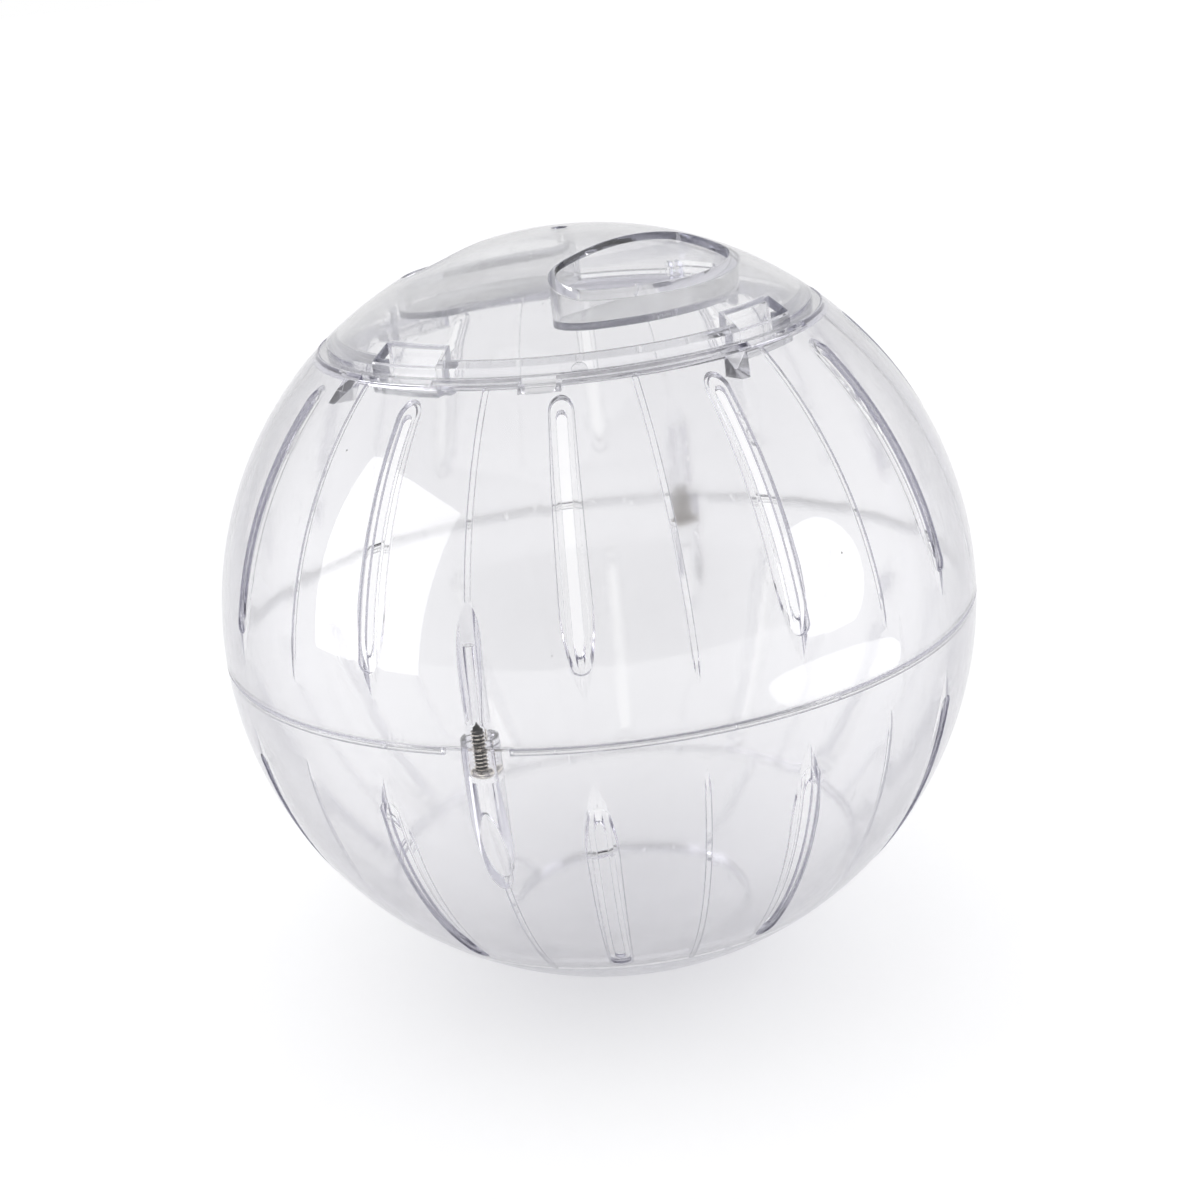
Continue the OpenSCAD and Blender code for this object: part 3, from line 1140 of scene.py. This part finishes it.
@dataclass(frozen=True)
class Lamp:
    """A plain soft box.

    Attributes:
        name: Name of the lamp.
        place: Its middle.
        size: Its width and height.
        radiance: How bright its face is, where 1 is the white of the background.
        target: Point that it faces.
        lights_matt: False for a lamp that shows only in gloss.
        shape: Outline of its face.
    """

    name: str
    place: Point
    size: tuple[float, float]
    radiance: float
    target: Point = (0, 0, 0)
    lights_matt: bool = True
    shape: BoxShape = BoxShape.WINDOW

    def build(self) -> bpy.types.Object:
        """Makes the lamp, facing its target.

        Returns:
            The lamp's object.
        """
        data = bpy.data.lights.new(self.name, "AREA")
        data.shape = self.shape.value
        data.size, data.size_y = self.size
        data.energy = self.radiance * math.pi * self.size[0] * self.size[1] * self.shape.filled
        lamp = bpy.data.objects.new(self.name, data)
        bpy.context.scene.collection.objects.link(lamp)
        aim = Vector(self.target) - Vector(self.place)
        turn = aim.to_track_quat("-Z", "Y").to_matrix().to_4x4()
        lamp.matrix_world = Matrix.Translation(self.place) @ turn
        lamp.visible_camera = False
        lamp.visible_transmission = False
        lamp.visible_diffuse = self.lights_matt
        return lamp


@dataclass
class Studio:
    """White paper, an even sky and a few soft boxes.

    Attributes:
        sky_strength: Even light on matt surfaces, where 1 renders a colour as written.
        sky_way: Direction in which the sky that gloss shows is darkest.
        sky_fade: Where that sky leaves white and where it is darkest, from 0 beside that
            direction to 1 along it.
        sky_dark: Its darkest colour, as sRGB hex, which draws dark lines along clear edges.
        unscattered: Diffuse depth under which a ray has met no matt surface yet.
        floor_span: Width of the floor.
        lamps: The soft boxes.
    """

    sky_strength: float = 0.86
    sky_way: Point = (0, -0.6, 0.8)
    sky_fade: tuple[float, float] = (0.1, 0.75)
    sky_dark: str = "#303039"
    unscattered: float = 0.5
    floor_span: float = 40.0
    lamps: tuple[Lamp, ...] = (
        Lamp("window_left", (-0.86, -0.32, 0.33), (0.66, 0.80), 3.2, lights_matt=False),
        Lamp(
            "window_right",
            (0.88, -0.40, 0.12),
            (0.50, 0.50),
            2.7,
            lights_matt=False,
            shape=BoxShape.ROUNDED,
        ),
        Lamp(
            "floor_panel",
            (0.36, -0.20, -0.088),
            (0.26, 0.32),
            2.2,
            target=(0.36, -0.20, 1.0),
            lights_matt=False,
            shape=BoxShape.ROUNDED,
        ),
        Lamp("top_softbox", (-0.25, -0.35, 1.25), (0.9, 0.9), 0.5),
    )

    def build(self) -> bpy.types.Object:
        """Makes the floor, the sky and the lamps.

        Returns:
            The floor.
        """
        deselect_all()
        bpy.ops.mesh.primitive_plane_add(size=self.floor_span, location=(0, 0, FLOOR_HEIGHT))
        floor = bpy.context.active_object
        floor.name = "studio_floor"
        bpy.ops.object.transform_apply(location=True, rotation=True, scale=True)
        floor.data.materials.append(StudioPaper().material())
        self._sky()
        for lamp in self.lamps:
            lamp.build()
        return floor

    def _sky(self) -> None:
        """Lights matt surfaces evenly; gloss shows white that turns dark in one direction."""
        world = bpy.data.worlds.new("studio_sky")
        bpy.context.scene.world = world
        world.use_nodes = True
        tree = world.node_tree
        tree.nodes.clear()
        way = add_node(tree, "ShaderNodeTexCoord").outputs["Generated"]
        along = add_node(
            tree, "ShaderNodeVectorMath", {0: way, 1: self.sky_way}, operation="DOT_PRODUCT"
        )
        ramp = add_node(tree, "ShaderNodeValToRGB", {0: along.outputs["Value"]})
        for stop, position, colour in zip(
            ramp.color_ramp.elements, self.sky_fade, (WHITE, linear_from_hex(self.sky_dark))
        ):
            stop.position = position
            stop.color = colour
        path = add_node(tree, "ShaderNodeLightPath").outputs
        shown = add_node(
            tree,
            "ShaderNodeMix",
            {FACTOR: path["Is Camera Ray"], FIRST: ramp, SECOND: WHITE},
            data_type="RGBA",
        ).outputs[MIXED]
        # A ray that a matt surface has scattered still gets the even sky beyond the glass.
        direct = add_node(
            tree,
            "ShaderNodeMath",
            {0: path["Diffuse Depth"], 1: self.unscattered},
            operation="LESS_THAN",
        )
        seen = add_node(
            tree, "ShaderNodeMath", {0: ray_is_seen(tree), 1: direct}, operation="MULTIPLY"
        )
        even = (self.sky_strength,) * 3 + (1.0,)
        colour = add_node(
            tree, "ShaderNodeMix", {FACTOR: seen, FIRST: even, SECOND: shown}, data_type="RGBA"
        ).outputs[MIXED]
        sky = add_node(tree, "ShaderNodeBackground", {"Color": colour, "Strength": 1.0})
        add_node(tree, "ShaderNodeOutputWorld", {"Surface": sky})


@dataclass
class PhotographCamera:
    """Camera at the photograph's viewing angle.

    Attributes:
        place: Where the camera stands.
        pitch: Angle that it looks down, in degrees.
        roll: Angle that it is turned round its line of sight, in degrees.
        film: Width of its picture, in millimetres.
        lens: Focal length for that width, in millimetres.
        shift: Offset of the picture's middle, as shares of its width.
        sight: Nearest and farthest distance that it sees.
    """

    place: Point = (0.0, -0.4535, 0.1533)
    pitch: float = 18.68
    roll: float = -6.12
    film: float = 36.0
    lens: float = 59.24
    shift: tuple[float, float] = (0.0008, -0.0004)
    sight: tuple[float, float] = (0.01, 100.0)

    def build(self) -> bpy.types.Object:
        """Makes the camera and sets it as the scene's own.

        Returns:
            The camera's object.
        """
        data = bpy.data.cameras.new("photograph_camera")
        data.sensor_width = self.film
        data.lens = self.lens
        data.shift_x, data.shift_y = self.shift
        data.clip_start, data.clip_end = self.sight
        camera = bpy.data.objects.new("photograph_camera", data)
        bpy.context.scene.collection.objects.link(camera)
        down = math.radians(self.pitch)
        ahead = Vector((0, math.cos(down), -math.sin(down)))
        level = ahead.to_track_quat("-Z", "Y").to_matrix().to_4x4()
        roll = Matrix.Rotation(math.radians(self.roll), 4, "Z")
        camera.matrix_world = Matrix.Translation(self.place) @ level @ roll
        bpy.context.scene.camera = camera
        return camera


# --------------------------------------------------------------------------- the whole


def main() -> None:
    """Builds the camera, the studio and the ball, and reports each piece."""
    logging.basicConfig(level=logging.INFO, format="%(name)s: %(message)s")
    bpy.context.scene.view_settings.view_transform = "Standard"
    log.info("camera: %s", PhotographCamera().build().name)
    log.info("floor: %s", Studio().build().name)
    for node in ("lower_shell", "upper_shell"):
        shell = MouldedPart(node, ClearPolystyrene(f"clear_polystyrene_{node}")).dress()
        log.info("moulding: %s", shell.name)
    # The lid is handled more gently than the halves: its plastic is hardly worn inside.
    lid_plastic = ClearPolystyrene(
        "clear_polystyrene_lid", depth_colour="#7F8095", density=34.0, haze=0.015
    )
    lid = MouldedPart("lid", lid_plastic).dress()
    log.info("moulding: %s", lid.name)
    log.info("mark: %s", GateMark().build(lid.material_slots[0].material).name)
    for place in ScrewPlace:
        screw = PanHeadScrew(place).build()
        log.info("screw: %s, %d faces", screw.name, len(screw.data.polygons))


if __name__ == "__main__":
    main()
